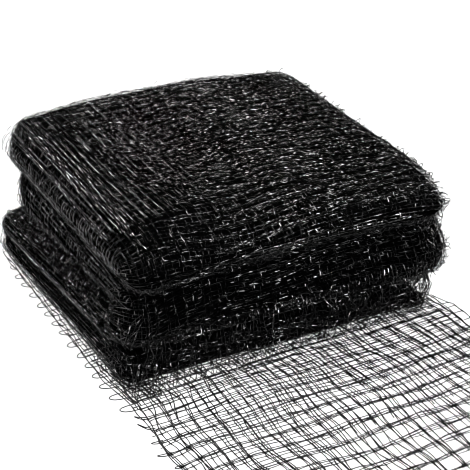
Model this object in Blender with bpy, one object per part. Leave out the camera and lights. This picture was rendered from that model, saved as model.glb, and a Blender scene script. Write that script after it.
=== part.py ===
"""A pile of black extruded bird netting, folded back and forth, with its loose end laid out flat in front.

The netting is one piece. A thick band of gathered mesh is folded into four layers that lie a little apart, and
the last plies of the band run out from under the pile as an open square net. Metres, Z up. The origin is the
middle of the pile's underside, X runs along the folds, and the loose end runs out towards -Y.
"""

import math

import bmesh
import bpy
import numpy as np

MM = 0.001

# Net, three-quarter inch square mesh
PITCH = 19.05 * MM
STRAND = 1.5 * MM
NET_THICK = 1.4 * MM

# Loose end: whole meshes across and along, and where its grid starts
CELLS_ACROSS = 17
CELLS_OUT = 13
CELLS_BESIDE = 14
GRID_LEFT = -171.0 * MM
GRID_FRONT = -148.0 * MM - CELLS_OUT * PITCH
BESIDE_SHIFT = -7.0 * MM
BESIDE_ROWS = 3.0
WANDER = 2.6 * MM
WANDER_ROWS = 4.0
RIPPLE = 4.5 * MM
RIPPLE_START = -185.0 * MM
RIPPLE_RUN = 60.0 * MM

# How the knots of the loose end wander out of square: phase per column, phase per row, starting phase, share
WANDER_ACROSS = ((0.35, 0.55, 0.0, 1.0), (-0.8, 1.3, 1.0, 0.5))
WANDER_ALONG = ((0.48, -0.31, 2.0, 1.0), (1.1, 0.9, 0.0, 0.5))

# Ripples of the loose end: wave length across and along in metres, starting phase, share
RIPPLE_WAVES = ((0.031, 0.055, 0.0, 1.0), (-0.09, 0.024, 1.0, 0.8))
RIPPLE_CUT = 0.25
RIPPLE_FULL = 1.45

UNDERLAY_RIGHT = 150.0 * MM
UNDERLAY_BACK = 138.0 * MM

# Pile
GAP = 3.0 * MM
BODY_FLOOR = 0.35 * MM
HALF_SPAN = 150.0 * MM
CORNER_ROUND = 19.0 * MM
BEND_DEPTH = 27.0 * MM
BEND_HOLD = 0.25
FRONT_GROOVE = 0.34
BACK_GROOVE = 0.08
GROOVE_ANGLE = 0.30

# The back bends draw the band's width in by this share, most half-way round
BACK_PINCH = 0.06
PINCH_ANGLE = 0.55
TIP_LENGTH = 24.0 * MM
THINNEST = 0.24
LUMP = 1.8 * MM
POCKET_LEFT = -98.0 * MM
POCKET_RIGHT = -52.0 * MM
CROWN = 6.0 * MM
FRONT_DROP = 15.0 * MM
FRONT_DROP_START = -100.0 * MM
FRONT_DROP_END = -162.0 * MM
FRONT_DROP_SHAPE = 1.5

# Unevenness of hand-folded net: wave length across and along in metres, phase turn of each seam, share
LUMP_WAVES = ((0.037, 0.044, 1.0, 0.35), (-0.037, 0.044, 0.7, 0.35), (0.019, -0.031, 2.3, 0.3))

# Heights in mm of the seams between layers, and of the top: at the front and the back, left, middle and right
SEAMS = {
    "floor": {"front": (0.0, 0.0, 0.0), "back": (0.0, 0.0, 0.0)},
    "first": {"front": (33.0, 27.0, 5.0), "back": (24.0, 26.0, 8.0)},
    "second": {"front": (56.0, 65.0, 73.0), "back": (41.0, 57.0, 64.0)},
    "third": {"front": (93.0, 97.0, 89.0), "back": (98.0, 95.0, 88.0)},
    "top": {"front": (150.0, 147.0, 137.0), "back": (148.0, 149.0, 132.0)},
}

# Layers from the floor up, in mm: reach to each side, roll of the side edges, and the seams they lie between.
# The third layer stands back at the front, but not left of the pocket, where it comes out to front_left.
LAYERS = (
    {
        "left": -170.0, "right": 152.0, "front": -153.0, "front_left": -153.0, "back": 157.0,
        "roll": 12.0, "under": "floor", "over": "first",
    },
    {
        "left": -170.0, "right": 187.0, "front": -154.0, "front_left": -154.0, "back": 158.0,
        "roll": 21.0, "under": "first", "over": "second",
    },
    {
        "left": -155.0, "right": 156.0, "front": -136.0, "front_left": -147.0, "back": 145.0,
        "roll": 17.0, "under": "second", "over": "third",
    },
    {
        "left": -165.0, "right": 165.0, "front": -161.0, "front_left": -161.0, "back": 148.0,
        "roll": 27.0, "under": "third", "over": "top",
    },
)

# How finely the folded band is drawn
STATIONS_IN_ROLL = 5
STATIONS_BETWEEN = 13
ROLL_SHARE = 0.2
BEND_STEPS = 6
TIP_ANGLES = (84.0, 62.0, 38.0, 14.0)
RUN_STEPS = 5
TOP_EXTRA_STEPS = 3
WELD = 0.01 * MM
SHARP_ANGLE = 40.0


def smooth(value):
    """Smoothstep of a number, clamped to 0..1."""
    value = min(1.0, max(0.0, value))
    return value * value * (3.0 - 2.0 * value)


def lumps(x, y, seam):
    """Gentle unevenness of hand-folded net, in metres: crossed waves, other ones for each seam."""
    number = list(SEAMS).index(seam)
    waves = (share * math.sin(x / across + y / along + turn * number) for across, along, turn, share in LUMP_WAVES)
    return LUMP * sum(waves)


def seam_height(name, x, y):
    """Height of a seam: a parabola through its three heights across, blended straight from front to back."""
    if name == "floor":
        return BODY_FLOOR
    rows = SEAMS[name]
    across = max(-1.15, min(1.15, x / HALF_SPAN))
    heights = []
    for left, middle, right in (rows["front"], rows["back"]):
        bend = (left + right) / 2.0 - middle
        heights.append(middle + across * (right - left) / 2.0 + across * across * bend)
    share = smooth((y + HALF_SPAN) / (2.0 * HALF_SPAN))
    height = (heights[0] * (1.0 - share) + heights[1] * share) * MM + lumps(x, y, name)
    if name == "top":
        height += CROWN * (1.0 - min(1.0, across * across)) * (1.0 - min(1.0, (y / HALF_SPAN) ** 2))
        drop = smooth((FRONT_DROP_START - y) / (FRONT_DROP_START - FRONT_DROP_END))
        height -= FRONT_DROP * drop ** FRONT_DROP_SHAPE
    return height


def layer_heights(layer, x, y):
    """Underside and upper side of a layer, half a gap away from the seams next to it."""
    low = seam_height(layer["under"], x, y)
    high = seam_height(layer["over"], x, y)
    if layer["under"] != "floor":
        low += GAP / 2.0
    if layer["over"] != "top":
        high -= GAP / 2.0
    return low, high


def blend_layers(first, second, share):
    """A layer's reach and roll, part way from one layer to the next."""
    keys = ("left", "right", "front", "front_left", "back", "roll")
    return {key: first[key] * (1.0 - share) + second[key] * share for key in keys}


def past_pocket(x):
    """0 at the left end of the front, 1 where the third layer has drawn back under the top one."""
    return smooth((x - POCKET_LEFT) / (POCKET_RIGHT - POCKET_LEFT))


def front_reach(reach, x):
    """How far a layer comes forward at one place across."""
    share = past_pocket(x)
    return (reach["front_left"] * (1.0 - share) + reach["front"] * share) * MM


def side_place(reach, t):
    """Place across, how far the plan corner has rounded off, and how much of the thickness is left there."""
    middle = (reach["left"] + reach["right"]) / 2.0 * MM
    half = (reach["right"] - reach["left"]) / 2.0 * MM
    in_corner = max(0.0, (abs(t) * half - (half - CORNER_ROUND)) / CORNER_ROUND)
    corner = CORNER_ROUND * (1.0 - math.sqrt(max(0.0, 1.0 - in_corner * in_corner)))
    roll = reach["roll"] * MM
    in_roll = max(0.0, (abs(t) * half - (half - roll)) / roll)
    left_over = math.sqrt(max(0.0, 1.0 - in_roll * in_roll))
    return middle + t * half, corner, left_over


def pair(first, second, left_over):
    """The two sides of the band, drawn in towards its middle line."""
    left_over = max(THINNEST, left_over)
    middle = (first + second) / 2.0
    half = (first - second) / 2.0 * left_over
    return middle + half, middle - half


def run_pairs(layer, t, y_from, y_to, steps):
    """Pairs (underside, upper side) along one flat run of a layer, ends included."""
    x, _, left_over = side_place(layer, t)
    found = []
    for step in range(steps + 1):
        y = y_from + (y_to - y_from) * step / steps
        low, high = layer_heights(layer, x, y)
        found.append(pair(np.array((x, y, low)), np.array((x, y, high)), left_over))
    return found


def tip_pairs(layer, t, y_end):
    """Pairs round a free front end, from the very end inwards: a half ellipse."""
    x, _, left_over = side_place(layer, t)
    found = []
    for angle in TIP_ANGLES:
        y = y_end + TIP_LENGTH * (1.0 - math.sin(math.radians(angle)))
        low, high = layer_heights(layer, x, y)
        share = left_over * math.cos(math.radians(angle))
        found.append(pair(np.array((x, y, low)), np.array((x, y, high)), share))
    return found


def bend_pairs(lower, upper, t, side, y_centre):
    """Pairs (inner, outer) round a bend that joins two layers, from the lower one up, ends left out."""
    found = []
    for step in range(1, BEND_STEPS):
        angle = math.pi * (step / BEND_STEPS - 0.5)
        share = smooth((step / BEND_STEPS - BEND_HOLD) / (1.0 - BEND_HOLD))
        reach = blend_layers(lower, upper, share)
        x, corner, left_over = side_place(reach, t)
        end = reach["back"] * MM - corner if side > 0 else front_reach(reach, x) + corner
        seam = seam_height(lower["over"], x, y_centre)
        low, _ = layer_heights(lower, x, y_centre)
        _, high = layer_heights(upper, x, y_centre)
        tall = seam - low if angle < 0.0 else high - seam
        depth = BACK_GROOVE if side > 0 else FRONT_GROOVE * past_pocket(x)
        groove = 1.0 - depth * math.exp(-((angle / GROOVE_ANGLE) ** 2))
        if side > 0:
            x *= 1.0 - BACK_PINCH * math.exp(-((angle / PINCH_ANGLE) ** 2))
        out = (end - y_centre) * math.cos(angle) * groove
        outer = np.array((x, y_centre + out, seam + tall * math.sin(angle)))
        inner_y = y_centre + side * GAP / 2.0 * math.cos(angle)
        inner = np.array((x, inner_y, seam + GAP / 2.0 * math.sin(angle)))
        found.append(pair(inner, outer, left_over))
    return found


def bend_centre(lower, upper, t, side):
    """Where the gap inside a bend ends."""
    corner = max(side_place(lower, t)[1], side_place(upper, t)[1])
    if side > 0:
        return min(lower["back"], upper["back"]) * MM - corner - BEND_DEPTH
    return max(lower["front"], upper["front"]) * MM + corner + BEND_DEPTH


def band_section(t):
    """Both sides of the folded band at one place across the pile, from its bottom end to its top end.

    The first row keeps to one hand of the band all the way, so on every second run the pair changes places.
    """
    bottom, second, third, top = LAYERS
    back_low = bend_centre(bottom, second, t, 1)
    front = bend_centre(second, third, t, -1)
    back_high = bend_centre(third, top, t, 1)
    corner_bottom = side_place(bottom, t)[1]
    corner_top = side_place(top, t)[1]
    start = bottom["front"] * MM + corner_bottom
    end = top["front"] * MM + corner_top
    pairs = [(high, low) for low, high in tip_pairs(bottom, t, start)]
    pairs += [(high, low) for low, high in run_pairs(bottom, t, start + TIP_LENGTH, back_low, RUN_STEPS)]
    pairs += bend_pairs(bottom, second, t, 1, back_low)
    pairs += run_pairs(second, t, back_low, front, RUN_STEPS)
    pairs += [(outer, inner) for inner, outer in bend_pairs(second, third, t, -1, front)]
    pairs += [(high, low) for low, high in run_pairs(third, t, front, back_high, RUN_STEPS)]
    pairs += bend_pairs(third, top, t, 1, back_high)
    pairs += run_pairs(top, t, back_high, end + TIP_LENGTH, RUN_STEPS + TOP_EXTRA_STEPS)
    pairs += tip_pairs(top, t, end)[::-1]
    return pairs


def stations():
    """Places across the pile from -1 to 1, close together where the side edges roll over."""
    turns = [math.pi / 2.0 * k / STATIONS_IN_ROLL for k in range(STATIONS_IN_ROLL)]
    rolled = [1.0 - ROLL_SHARE * (1.0 - math.sin(turn)) for turn in turns]
    flat = [(-1.0 + 2.0 * k / STATIONS_BETWEEN) * (1.0 - ROLL_SHARE) for k in range(1, STATIONS_BETWEEN)]
    return [-1.0] + [-r for r in rolled[::-1]] + flat + rolled + [1.0]


def new_object(name, bm, collection):
    """A mesh object from a finished bmesh."""
    mesh = bpy.data.meshes.new(name)
    bm.to_mesh(mesh)
    bm.free()
    thing = bpy.data.objects.new(name, mesh)
    collection.objects.link(thing)
    return thing


def build_pile(collection):
    """The folded band: its section lofted across the pile, closed by a strip at each side."""
    bm = bmesh.new()
    rings = []
    for t in stations():
        pairs = band_section(t)
        ring = [first for first, _ in pairs] + [second for _, second in pairs[::-1]]
        rings.append([bm.verts.new(point) for point in ring])
    count = len(rings[0])
    for near, far in zip(rings, rings[1:]):
        for k in range(count):
            after = (k + 1) % count
            bm.faces.new((near[k], near[after], far[after], far[k]))
    for ring in (rings[0], rings[-1]):
        for k in range(count // 2 - 1):
            bm.faces.new((ring[k], ring[k + 1], ring[count - 2 - k], ring[count - 1 - k]))
    bmesh.ops.triangulate(bm, faces=bm.faces[:])
    bmesh.ops.recalc_face_normals(bm, faces=bm.faces[:])
    return new_object("netting", bm, collection)


def knot(i, j):
    """Where strand i along and strand j across meet in the loose end, a little out of square."""
    x = GRID_LEFT + i * PITCH
    y = GRID_FRONT + j * PITCH
    free = WANDER * smooth((CELLS_OUT + 1 - j) / WANDER_ROWS)
    shift_x = sum(share * math.sin(a * i + b * j + start) for a, b, start, share in WANDER_ACROSS)
    shift_y = sum(share * math.sin(a * i + b * j + start) for a, b, start, share in WANDER_ALONG)
    beside = BESIDE_SHIFT * smooth((j - CELLS_OUT + 1) / BESIDE_ROWS)
    return x + beside + free * shift_x, y + free * shift_y


def add_outline(curve, points):
    """One closed straight-sided outline in a flat curve."""
    spline = curve.splines.new("POLY")
    spline.points.add(len(points) - 1)
    for place, (x, y) in zip(spline.points, points):
        place.co = (x, y, 0.0, 1.0)
    spline.use_cyclic_u = True


def loose_outline():
    """The loose net's border: its cut end, its right side, the ply under the pile, and its left side."""
    half = STRAND / 2.0
    rows = range(CELLS_OUT + 1)
    cut_end = [(knot(i, 0)[0], knot(i, 0)[1] - half) for i in range(CELLS_ACROSS + 1)]
    right = [(knot(CELLS_ACROSS, j)[0] + half, knot(CELLS_ACROSS, j)[1]) for j in rows]
    under_front = knot(CELLS_ACROSS, CELLS_OUT)[1] + PITCH
    strip_end = knot(0, CELLS_OUT + CELLS_BESIDE)[1] + half
    under = [
        (UNDERLAY_RIGHT, under_front),
        (UNDERLAY_RIGHT, UNDERLAY_BACK),
        (knot(1, CELLS_OUT)[0], UNDERLAY_BACK),
        (knot(1, CELLS_OUT)[0], strip_end),
    ]
    left = [(knot(0, j)[0] - half, knot(0, j)[1]) for j in range(CELLS_OUT + CELLS_BESIDE, -1, -1)]
    left[0] = (left[0][0], strip_end)
    cut_end[0] = (cut_end[0][0] - half, cut_end[0][1])
    cut_end[-1] = (cut_end[-1][0] + half, cut_end[-1][1])
    return cut_end + right[1:] + under + left[:-1]


def mesh_hole(i, j):
    """The open square between four strands."""
    half = STRAND / 2.0
    corners = ((0, 0, 1, 1), (1, 0, -1, 1), (1, 1, -1, -1), (0, 1, 1, -1))
    return [(knot(i + a, j + b)[0] + p * half, knot(i + a, j + b)[1] + q * half) for a, b, p, q in corners]


def ripple_height(x, y):
    """How high the loose net lifts off the floor: soft ripples past the pile, flat in between."""
    free = smooth((RIPPLE_START - y) / RIPPLE_RUN)
    wave = sum(share * math.sin(x / across + y / along + start) for across, along, start, share in RIPPLE_WAVES)
    return RIPPLE * free * smooth((wave - RIPPLE_CUT) / (RIPPLE_FULL - RIPPLE_CUT))


def build_loose_end(collection):
    """The plies that lie on the floor: a thin flat net, cut through at every mesh that shows."""
    curve = bpy.data.curves.new("loose_end_outline", "CURVE")
    curve.dimensions = "2D"
    curve.fill_mode = "BOTH"
    curve.extrude = NET_THICK / 2.0
    add_outline(curve, loose_outline())
    for j in range(CELLS_OUT):
        for i in range(CELLS_ACROSS):
            add_outline(curve, mesh_hole(i, j))
    for j in range(CELLS_OUT, CELLS_OUT + CELLS_BESIDE):
        add_outline(curve, mesh_hole(0, j))
    outline = bpy.data.objects.new("loose_end_outline", curve)
    collection.objects.link(outline)
    bpy.context.view_layer.update()
    flat = outline.evaluated_get(bpy.context.evaluated_depsgraph_get())
    bm = bmesh.new()
    bm.from_mesh(bpy.data.meshes.new_from_object(flat))
    bpy.data.objects.remove(outline)
    bmesh.ops.remove_doubles(bm, verts=bm.verts[:], dist=WELD)
    bmesh.ops.triangulate(bm, faces=bm.faces[:])
    for vert in bm.verts:
        vert.co.z += NET_THICK / 2.0 + ripple_height(vert.co.x, vert.co.y)
    bmesh.ops.recalc_face_normals(bm, faces=bm.faces[:])
    return new_object("loose_end", bm, collection)


def join_into(target, other):
    """A union that leaves one closed body."""
    union = target.modifiers.new("union", "BOOLEAN")
    union.operation = "UNION"
    union.solver = "EXACT"
    union.object = other
    bpy.context.view_layer.update()
    evaluated = target.evaluated_get(bpy.context.evaluated_depsgraph_get())
    joined = bpy.data.meshes.new_from_object(evaluated)
    target.modifiers.clear()
    target.data = joined
    bpy.data.objects.remove(other)


def net_material():
    """Matt black extruded polypropylene."""
    material = bpy.data.materials.new("black_polypropylene")
    material.use_nodes = True
    shader = material.node_tree.nodes["Principled BSDF"]
    shader.inputs["Base Color"].default_value = (0.012, 0.012, 0.013, 1.0)
    shader.inputs["Roughness"].default_value = 0.42
    shader.inputs["Metallic"].default_value = 0.0
    return material


def main():
    """Clears the scene and builds the netting."""
    for thing in list(bpy.data.objects):
        bpy.data.objects.remove(thing)
    collection = bpy.data.collections.new("bird_netting")
    bpy.context.scene.collection.children.link(collection)
    netting = build_pile(collection)
    join_into(netting, build_loose_end(collection))
    netting.data.materials.clear()
    netting.data.materials.append(net_material())
    netting.data.shade_smooth()
    netting.data.set_sharp_from_angle(angle=math.radians(SHARP_ANGLE))


main()
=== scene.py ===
import math

import bpy
import mathutils
import numpy as np
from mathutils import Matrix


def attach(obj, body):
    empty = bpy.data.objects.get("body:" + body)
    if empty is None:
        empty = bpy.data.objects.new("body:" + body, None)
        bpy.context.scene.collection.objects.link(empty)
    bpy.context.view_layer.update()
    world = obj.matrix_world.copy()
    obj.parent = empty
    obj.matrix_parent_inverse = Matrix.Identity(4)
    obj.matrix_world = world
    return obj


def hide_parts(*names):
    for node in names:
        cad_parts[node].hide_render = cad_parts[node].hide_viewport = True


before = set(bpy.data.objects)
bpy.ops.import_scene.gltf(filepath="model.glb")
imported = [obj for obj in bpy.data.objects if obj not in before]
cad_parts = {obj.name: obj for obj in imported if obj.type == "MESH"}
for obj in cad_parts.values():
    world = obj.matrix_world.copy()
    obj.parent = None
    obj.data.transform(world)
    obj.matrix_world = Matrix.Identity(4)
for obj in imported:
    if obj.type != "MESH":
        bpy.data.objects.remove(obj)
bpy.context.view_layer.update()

mm = 0.001
upward = np.array([0.0, 0.0, 1.0])
fullTurn = 6.3  # radians, the range of random starts
rng = np.random.default_rng(19)
print("frame loaded, nodes:", sorted(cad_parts))


# small helpers

def smoothStep(v):  # 3 v^2 - 2 v^3: 0 below 0, 1 above 1, soft in between
    v = np.clip(v, 0.0, 1.0)
    return v * v * (3.0 - 2.0 * v)


def ramp(value, start, run):  # 0 up to start, 1 from start + run on
    return smoothStep((value - start) / run)


def mix(a, b, share):  # a at share 0, b at share 1
    return a + (b - a) * share


def between(low, high, e):  # low at e = -1, high at e = 1
    return (low + high) / 2 + e * (high - low) / 2


def linearColour(hexText):  # sRGB hex to the linear values that shaders take
    parts = [int(hexText[k:k + 2], 16) / 255.0 for k in (1, 3, 5)]
    return tuple(p / 12.92 if p <= 0.04045 else ((p + 0.055) / 1.055) ** 2.4 for p in parts) + (1.0,)


def unit(v):  # vectors scaled to length 1
    return v / np.maximum(np.linalg.norm(v, axis=-1, keepdims=True), 1e-9)


def addNode(tree, kind, settings=None, inputs=None, links=()):
    # one node with its settings, its values and its links
    node = tree.nodes.new(kind)
    for name, value in (settings or {}).items():
        setattr(node, name, value)
    for name, value in (inputs or {}).items():
        node.inputs[name].default_value = value
    for source, outName, inName in links:
        tree.links.new(source.outputs[outName], node.inputs[inName])
    return node


def newPiece(name, points, faces, smooth, material):  # a mesh object at the origin, its place in its points
    mesh = bpy.data.meshes.new(name)
    mesh.from_pydata(points.tolist(), [], faces.tolist())
    mesh.polygons.foreach_set("use_smooth", np.full(len(faces), smooth))
    mesh.materials.append(material)
    mesh.update()
    piece = bpy.data.objects.new(name, mesh)
    bpy.context.scene.collection.objects.link(piece)
    return piece


def joined(parts):  # several point and triangle arrays as one, without the points no triangle uses
    starts = np.cumsum([0] + [len(p) for p, f in parts[:-1]])
    points = np.concatenate([p for p, f in parts])
    faces = np.concatenate([f + start for (p, f), start in zip(parts, starts)])
    used, faces = np.unique(faces, return_inverse=True)
    return points[used], faces.reshape(-1, 3)


def finished(name, parts, smooth, material):  # the parts joined to one piece
    points, faces = joined(parts)
    print(name, "triangles:", len(faces))
    return newPiece(name, points, faces, smooth, material)


def keepAbove(points, height):  # nothing lower than this over the floor
    points[..., 2] = np.maximum(points[..., 2], height)


def ownTwist(shape, turn, share=1.0):  # random steps added up along each strand, from a random start
    steps = share * rng.normal(0, turn, shape)
    return np.cumsum(steps, axis=1) + rng.uniform(0, fullTurn, (shape[0], 1))


def tubes(path, up, radius, twist, keep=None, sides=3):
    # rings of path + radius * (cos a * side + sin a * lift), where a is twist and equal shares of a turn, and
    # side and lift are square to the path; only stretches between two kept points are made, with closed ends
    strands, count = path.shape[:2]
    keep = np.ones((strands, count), bool) if keep is None else keep
    forward = unit(np.gradient(path, axis=1))
    side = unit(np.cross(up, forward))
    lift = np.cross(forward, side)
    turn = np.asarray(twist)[..., None, None] + (2 * np.pi * np.arange(sides) / sides)[:, None]
    spokes = np.cos(turn) * side[:, :, None, :] + np.sin(turn) * lift[:, :, None, :]
    ring = path[:, :, None, :] + np.asarray(radius)[..., None, None] * spokes
    index = np.arange(strands * count * sides).reshape(strands, count, sides)
    after = np.roll(index, -1, 2)
    first = np.stack([index[:, :-1], after[:, :-1], after[:, 1:]], -1)
    second = np.stack([index[:, :-1], after[:, 1:], index[:, 1:]], -1)
    kept = keep[:, :-1] & keep[:, 1:]
    bare = np.zeros((strands, 1), bool)
    starts = kept & ~np.concatenate([bare, kept[:, :-1]], 1)
    ends = kept & ~np.concatenate([kept[:, 1:], bare], 1)
    caps = []
    for k in range(1, sides - 1):
        caps += [index[:, :-1][starts][:, [0, k + 1, k]], index[:, 1:][ends][:, [0, k, k + 1]]]
    faces = np.concatenate([first[kept].reshape(-1, 3), second[kept].reshape(-1, 3)] + caps)
    return ring.reshape(-1, 3), faces


# camera, at the photo's angle

cameraSet = {
    "place": (-0.69166, -1.30016, 0.89387),
    "azimuth": 28.791,  # degrees to the right of +Y
    "elevation": 30.074,  # degrees down
    "lens": 134.13,
    "sensor": 36.0,
}


def makeCamera(c):
    data = bpy.data.cameras.new("camera")
    data.lens = c["lens"]
    data.sensor_width = c["sensor"]
    data.clip_end = 20.0
    cam = bpy.data.objects.new("camera", data)
    cam.location = c["place"]
    cam.rotation_euler = (math.radians(90.0 - c["elevation"]), 0.0, math.radians(-c["azimuth"]))
    bpy.context.scene.collection.objects.link(cam)
    bpy.context.scene.camera = cam


makeCamera(cameraSet)
print("camera set")


# the folded band, in mm

bandSet = {
    "gap": 3.0,
    "flatShare": 0.4,  # of once round the band: each flat side, and the rest of each half is a rolled edge
    "floorHeight": 0.35,
    "halfSpan": 150.0,
    "acrossMost": 1.15,  # how far the seams' parabolas are followed, in half spans
    "cornerRound": 19.0,
    "bendDepth": 27.0,
    "bendHold": 0.25,
    "frontGroove": 0.34,
    "backGroove": 0.08,
    "grooveAngle": 0.30,
    "backPinch": 0.06,
    "pinchAngle": 0.55,
    "tipLength": 24.0,
    "lump": 1.8,
    "lumpWaves": ((37.0, 44.0, 1.0, 0.35), (-37.0, 44.0, 0.7, 0.35), (19.0, -31.0, 2.3, 0.3)),
    "pocket": (-98.0, -52.0),
    "crown": 6.0,
    "frontDrop": 15.0,
    "frontDropSpan": (-100.0, -162.0),
    "frontDropShape": 1.5,
    # height of each seam at its left, middle and right: at the front, then at the back
    "seams": {
        "floor": ((0.0, 0.0, 0.0), (0.0, 0.0, 0.0)),
        "first": ((33.0, 27.0, 5.0), (24.0, 26.0, 8.0)),
        "second": ((56.0, 65.0, 73.0), (41.0, 57.0, 64.0)),
        "third": ((93.0, 97.0, 89.0), (98.0, 95.0, 88.0)),
        "top": ((150.0, 147.0, 137.0), (148.0, 149.0, 132.0)),
    },
    # left, right, front, front left of the pocket, back, roll of the side edges
    "layers": (
        (-170, 152, -153, -153, 157, 12),
        (-170, 187, -154, -154, 158, 21),
        (-155, 156, -136, -147, 145, 17),
        (-165, 165, -161, -161, 148, 27),
    ),
}
seamOrder = ("floor", "first", "second", "third", "top")
fieldOrder = ("left", "right", "front", "frontLeft", "back", "roll")


def lumps(x, y, number):  # a sum of share * sin(x / ax + y / ay + turn * number), so other ones for each seam
    waves = [share * np.sin(x / ax + y / ay + turn * number) for ax, ay, turn, share in bandSet["lumpWaves"]]
    return bandSet["lump"] * sum(waves)


def seamHeight(number, x, y):  # a parabola through three heights across, blended from front to back
    b = bandSet
    if number == 0:
        return np.full(np.broadcast(x, y).shape, b["floorHeight"])
    across = np.clip(x / b["halfSpan"], -b["acrossMost"], b["acrossMost"])
    rows = []
    for left, middle, right in b["seams"][seamOrder[number]]:
        rows.append(middle + across * (right - left) / 2 + across ** 2 * ((left + right) / 2 - middle))
    share = ramp(y, -b["halfSpan"], 2 * b["halfSpan"])
    height = mix(*rows, share) + lumps(x, y, number)
    if number == 4:
        lengthwise = np.minimum(1, (y / b["halfSpan"]) ** 2)
        height = height + b["crown"] * (1 - np.minimum(1, across ** 2)) * (1 - lengthwise)
        start, end = b["frontDropSpan"]
        height = height - b["frontDrop"] * ramp(-y, -start, start - end) ** b["frontDropShape"]
    return height


def layerHeights(number, x, y):  # a layer's underside and upper side, half a gap off its seams
    half = bandSet["gap"] / 2
    low = seamHeight(number, x, y) + (half if number > 0 else 0.0)
    high = seamHeight(number + 1, x, y) - (half if number < 3 else 0.0)
    return low, high


def reachOf(number):  # a layer's reach as a dictionary
    return dict(zip(fieldOrder, bandSet["layers"][number]))


def acrossPlace(reach, w):  # round the band's flat section: x, and 1 on one hand to -1 on the other
    roll = reach["roll"]
    left, right = reach["left"] + roll, reach["right"] - roll
    flat, turn = bandSet["flatShare"], 0.5 - bandSet["flatShare"]
    w = np.mod(w, 1.0)
    x = np.where(w < flat, left + (right - left) * w / flat, 0.0)
    e = np.where(w < flat, 1.0, 0.0)
    phi = np.pi * (w - flat) / turn
    inRight = (w >= flat) & (w < flat + turn)
    x = np.where(inRight, right + roll * np.sin(phi), x)
    e = np.where(inRight, np.cos(phi), e)
    inLow = (w >= flat + turn) & (w < 2 * flat + turn)
    x = np.where(inLow, right - (right - left) * (w - flat - turn) / flat, x)
    e = np.where(inLow, -1.0, e)
    phi = np.pi * (w - 2 * flat - turn) / turn
    inLeft = w >= 2 * flat + turn
    x = np.where(inLeft, left - roll * np.sin(phi), x)
    return x, np.where(inLeft, -np.cos(phi), e)


def cornerOf(reach, x):  # how far the plan's corner has rounded off at this x: r - sqrt(r^2 - into^2)
    r = bandSet["cornerRound"]
    into = np.clip(np.maximum(x - (reach["right"] - r), reach["left"] + r - x) / r, 0.0, 1.0)
    return r * (1 - np.sqrt(1 - into ** 2))


def pastPocket(x):  # 0 left of the pocket in the front, 1 right of it
    start, end = bandSet["pocket"]
    return ramp(x, start, end - start)


def frontReach(reach, x):  # a layer's front, set back left of the pocket
    return mix(reach["frontLeft"], reach["front"], pastPocket(x))


def bendCentre(lower, upper, x, side):  # y of the line that a bend turns about; side is 1 at the back, or -1
    corner = np.maximum(cornerOf(lower, x), cornerOf(upper, x))
    if side > 0:
        return min(lower["back"], upper["back"]) - corner - bandSet["bendDepth"]
    return max(lower["front"], upper["front"]) + corner + bandSet["bendDepth"]


def spanRows(number, w, yFrom, yTo, q, flip):
    # a flat run: y = yFrom + (yTo - yFrom) * q, z = the middle of its two heights + e * half its thickness
    x, e = acrossPlace(reachOf(number), w)
    y = mix(yFrom(x), yTo(x), q)
    low, high = layerHeights(number, x, y)
    return np.stack(np.broadcast_arrays(x, y, between(low, high, -e if flip else e)), -1)


def tipRows(number, w, q, flip):  # a free end: a quarter ellipse, y by 1 - sin and its half height by cos
    reach = reachOf(number)
    x, e = acrossPlace(reach, w)
    theta = np.pi / 2 * q
    end = reach["front"] + cornerOf(reach, x)
    y = end + bandSet["tipLength"] * (1 - np.sin(theta))
    low, high = layerHeights(number, x, y)
    e = (-e if flip else e) * np.cos(theta)
    return np.stack(np.broadcast_arrays(x, y, between(low, high, e)), -1)


def bendRows(number, w, q, side):
    # a U-bend from a layer to the next: y = centre + depth * cos, z = seam + height * sin, the outer hand
    # stretched to the layers' reach and the inner one half a gap off the seam
    b = bandSet
    lower, upper = reachOf(number), reachOf(number + 1)
    angle = np.pi * (q - 0.5)
    share = ramp(q, b["bendHold"], 1 - b["bendHold"])
    reach = {key: mix(lower[key], upper[key], share) for key in fieldOrder}
    x, e = acrossPlace(reach, w)
    centre = bendCentre(lower, upper, x, side)
    corner = cornerOf(reach, x)
    end = reach["back"] - corner if side > 0 else frontReach(reach, x) + corner
    seam = seamHeight(number + 1, x, centre)
    low = layerHeights(number, x, centre)[0]
    high = layerHeights(number + 1, x, centre)[1]
    tall = np.where(angle < 0, seam - low, high - seam)
    depth = b["backGroove"] if side > 0 else b["frontGroove"] * pastPocket(x)
    groove = 1 - depth * np.exp(-((angle / b["grooveAngle"]) ** 2))
    outerY = centre + (end - centre) * np.cos(angle) * groove
    outerZ = seam + tall * np.sin(angle)
    innerY = centre + side * b["gap"] / 2 * np.cos(angle)
    innerZ = seam + b["gap"] / 2 * np.sin(angle)
    x = x * (1 - (b["backPinch"] if side > 0 else 0.0) * np.exp(-((angle / b["pinchAngle"]) ** 2)))
    e = e if side > 0 else -e  # the hand that is inside at the back is outside at the front
    y, z = between(outerY, innerY, e), between(outerZ, innerZ, e)
    return np.stack(np.broadcast_arrays(x, y, z), -1)


bandRows = {"tip": 9, "run": 62, "bend": 20, "columns": 150}


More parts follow.
